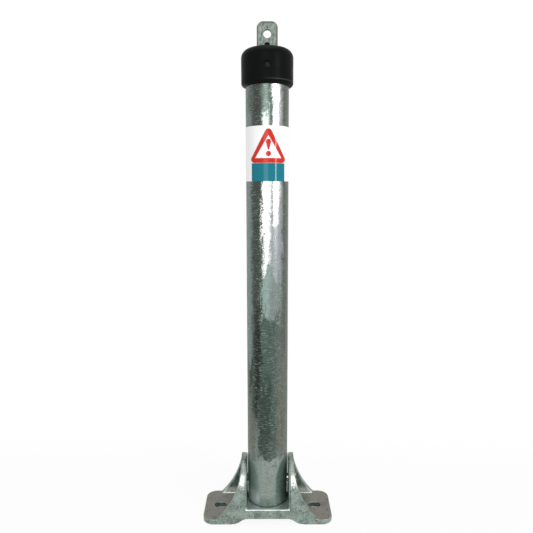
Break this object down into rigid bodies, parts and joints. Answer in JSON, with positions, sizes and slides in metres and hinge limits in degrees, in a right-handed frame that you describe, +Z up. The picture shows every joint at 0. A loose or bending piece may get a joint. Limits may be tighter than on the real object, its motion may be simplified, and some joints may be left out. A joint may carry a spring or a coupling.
{
  "type": "folding parking post",
  "caption": "Lockable fold-down parking post: a tube with a padlock eye on top, hinged in a bolt-down cast base with webbed cheeks.",
  "frame": {"origin": "on the ground, under the tube's axis, at the middle of the base plate's underside", "axes": "+X to the right along the base plate and the hinge pin, +Y to the back, +Z up the post; it folds towards -Y"},
  "size_m": [0.195, 0.076, 0.721],
  "materials": {
    "galvanised_casting": "hot-dip galvanised casting, dull grey with small pits",
    "plated_pin": "yellow zinc plate",
    "plated_washer": "bright zinc plate",
    "spring_steel": "phosphated spring steel",
    "bare_steel": "turned steel",
    "flat_bar": "dull zinc on flat bar, brown at the edges",
    "galvanised_tube": "hot-dip galvanised tube with vertical runs",
    "guide_plastic": "moulded, plain",
    "cap_plastic": "satin black moulding",
    "dark_rivet": "black painted blind rivet",
    "label_film": "white adhesive film",
    "red_print": "printed red",
    "mark_print": "printed red mark",
    "teal_print": "printed teal"
  },
  "bodies": {
    "base": {"base_casting": "galvanised_casting", "hinge_pin": "plated_pin", "pin_washer": "plated_washer", "pin_retainer": "spring_steel"},
    "bar": {"pivot_sleeve": "bare_steel", "locking_bar": "flat_bar"},
    "post": {"post_tube": "galvanised_tube", "lower_guide": "guide_plastic", "upper_guide": "guide_plastic", "post_cap": "cap_plastic", "cap_rivet_front": "dark_rivet", "cap_rivet_back": "dark_rivet", "warning_label": "label_film", "label_triangle": "red_print", "label_mark": "mark_print", "label_panel": "teal_print"}
  },
  "joints": [
    {"name": "post_fold", "type": "hinge", "parent": "base", "child": "bar", "pos_m": [0, 0, 0.0545], "axis": [1, 0, 0], "range_deg": [0, 90]},
    {"name": "post_lift", "type": "slide", "parent": "bar", "child": "post", "axis": [0, 0, 1], "range_m": [0, 0.022]}
  ],
  "couplings": [
    {"joint": "post_lift", "follows": "post_fold", "m_per_rad": 0.014}
  ]
}
